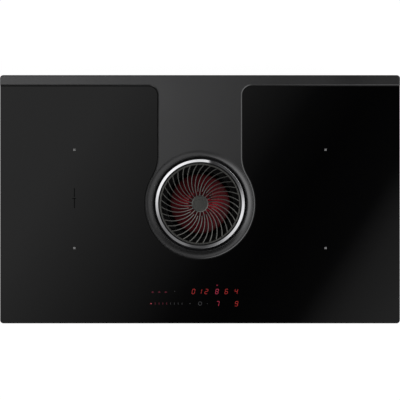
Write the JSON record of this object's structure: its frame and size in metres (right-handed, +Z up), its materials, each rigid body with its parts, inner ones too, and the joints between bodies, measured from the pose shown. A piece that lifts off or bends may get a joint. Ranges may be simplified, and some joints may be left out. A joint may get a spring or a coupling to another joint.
{
  "type": "downdraft induction cooktop",
  "caption": "Induction cooktop for a worktop cut-out, with cooking zones, touch control and an extractor that draws the air down through a round vaned grille",
  "frame": {"origin": "under the middle of the cooktop, on the plane of the extractor's base", "axes": "+X to the right of the person who cooks, +Y to the back, +Z up; the touch control lies towards -Y"},
  "size_m": [0.83, 0.515, 0.2238],
  "materials": {
    "ceramic_glass": "black, polished, with ground edges",
    "cast_grey": "satin dark grey coat on a casting",
    "polished_steel": "turned and polished",
    "cast_grille": "satin grey coat on a casting",
    "red_enamel": "glossy red",
    "black_enamel": "satin black coat on steel",
    "stainless": "brushed",
    "filter_mesh": "knitted mesh",
    "zinc_sheet": "zinc coated",
    "aluminium_plate": "mill finish",
    "moulding": "fine grain, black",
    "light_plastic": "smooth, off-white",
    "soft_seal": "closed-cell foam",
    "copper_litz": "varnished copper litz",
    "mica": "pressed mica",
    "circuit_board": "lacquered board"
  },
  "bodies": {
    "root": {"glass_top": "ceramic_glass", "surround": "cast_grey", "trim_ring": "polished_steel", "well_liner": "moulding", "well_gasket": "soft_seal", "worktop_seal": "soft_seal", "glass_frame": "zinc_sheet", "base_pan": "zinc_sheet", "centre_frame": "zinc_sheet", "touch_board": "circuit_board", "touch_carrier": "moulding", "display_guide": "light_plastic", "housing_upper": "moulding", "housing_lower": "moulding", "divider_plate": "moulding", "blower_motor": "zinc_sheet", "duct_collar": "moulding", "flap_pin": "stainless", "terminal_box": "moulding", "terminal_cover": "moulding", "terminal_block": "light_plastic", "cable_gland": "moulding", "coil_tray_left": "aluminium_plate", "mica_sheet_left": "mica", "power_board_left": "circuit_board", "heat_sink_left": "aluminium_plate", "fan_frame_left": "moulding", "coil_winding_front_left": "copper_litz", "coil_base_front_left": "aluminium_plate", "coil_winding_rear_left": "copper_litz", "coil_base_rear_left": "aluminium_plate", "coil_tray_right": "aluminium_plate", "mica_sheet_right": "mica", "power_board_right": "circuit_board", "heat_sink_right": "aluminium_plate", "fan_frame_right": "moulding", "coil_winding_front_right": "copper_litz", "coil_base_front_right": "aluminium_plate", "coil_winding_rear_right": "copper_litz", "coil_base_rear_right": "aluminium_plate"},
    "filter": {"filter_basket": "black_enamel", "grease_filter": "filter_mesh", "flow_deflector": "red_enamel"},
    "grille": {"intake_grille": "cast_grille"},
    "blower_wheel": {"impeller": "moulding", "motor_shaft": "stainless"},
    "flap": {"outlet_flap": "light_plastic"},
    "tray": {"liquid_tray": "moulding"},
    "fan_left": {"fan_rotor_left": "moulding"},
    "fan_right": {"fan_rotor_right": "moulding"},
    "screw_front_left": {"clamp_screw_front_left": "stainless"},
    "claw_front_left": {"clamp_claw_front_left": "zinc_sheet"},
    "screw_rear_left": {"clamp_screw_rear_left": "stainless"},
    "claw_rear_left": {"clamp_claw_rear_left": "zinc_sheet"},
    "screw_front_right": {"clamp_screw_front_right": "stainless"},
    "claw_front_right": {"clamp_claw_front_right": "zinc_sheet"},
    "screw_rear_right": {"clamp_screw_rear_right": "stainless"},
    "claw_rear_right": {"clamp_claw_rear_right": "zinc_sheet"}
  },
  "joints": [
    {"name": "filter_lift", "type": "slide", "parent": "root", "child": "filter", "axis": [0, 0, 1], "range_m": [0, 0.18]},
    {"name": "grille_lift", "type": "slide", "parent": "filter", "child": "grille", "axis": [0, 0, 1], "range_m": [0, 0.05]},
    {"name": "impeller_spin", "type": "hinge", "parent": "root", "child": "blower_wheel", "pos_m": [0.21696, 0.015, 0.06], "axis": [0, 0, 1], "continuous": true},
    {"name": "flap_swing", "type": "hinge", "parent": "root", "child": "flap", "pos_m": [0.25043, 0.2208, 0.09105], "axis": [1, 0, 0], "range_deg": [0, 80]},
    {"name": "tray_drop", "type": "slide", "parent": "root", "child": "tray", "axis": [0, 0, -1], "range_m": [0, 0.06]},
    {"name": "fan_spin_left", "type": "hinge", "parent": "root", "child": "fan_left", "pos_m": [-0.3338, -0.1493, 0.175], "axis": [0, 0, 1], "continuous": true},
    {"name": "fan_spin_right", "type": "hinge", "parent": "root", "child": "fan_right", "pos_m": [0.169, -0.1493, 0.175], "axis": [0, 0, 1], "continuous": true},
    {"name": "clamp_turn_front_left", "type": "hinge", "parent": "root", "child": "screw_front_left", "pos_m": [-0.3981, -0.15, 0.18], "axis": [0, 0, -1], "range_deg": [0, 90]},
    {"name": "clamp_climb_front_left", "type": "slide", "parent": "screw_front_left", "child": "claw_front_left", "axis": [0, 0, 1], "range_m": [0, 0.025]},
    {"name": "clamp_turn_rear_left", "type": "hinge", "parent": "root", "child": "screw_rear_left", "pos_m": [-0.3981, 0.15, 0.18], "axis": [0, 0, -1], "range_deg": [0, 90]},
    {"name": "clamp_climb_rear_left", "type": "slide", "parent": "screw_rear_left", "child": "claw_rear_left", "axis": [0, 0, 1], "range_m": [0, 0.025]},
    {"name": "clamp_turn_front_right", "type": "hinge", "parent": "root", "child": "screw_front_right", "pos_m": [0.3981, -0.15, 0.18], "axis": [0, 0, -1], "range_deg": [0, 90]},
    {"name": "clamp_climb_front_right", "type": "slide", "parent": "screw_front_right", "child": "claw_front_right", "axis": [0, 0, 1], "range_m": [0, 0.025]},
    {"name": "clamp_turn_rear_right", "type": "hinge", "parent": "root", "child": "screw_rear_right", "pos_m": [0.3981, 0.15, 0.18], "axis": [0, 0, -1], "range_deg": [0, 90]},
    {"name": "clamp_climb_rear_right", "type": "slide", "parent": "screw_rear_right", "child": "claw_rear_right", "axis": [0, 0, 1], "range_m": [0, 0.025]}
  ]
}
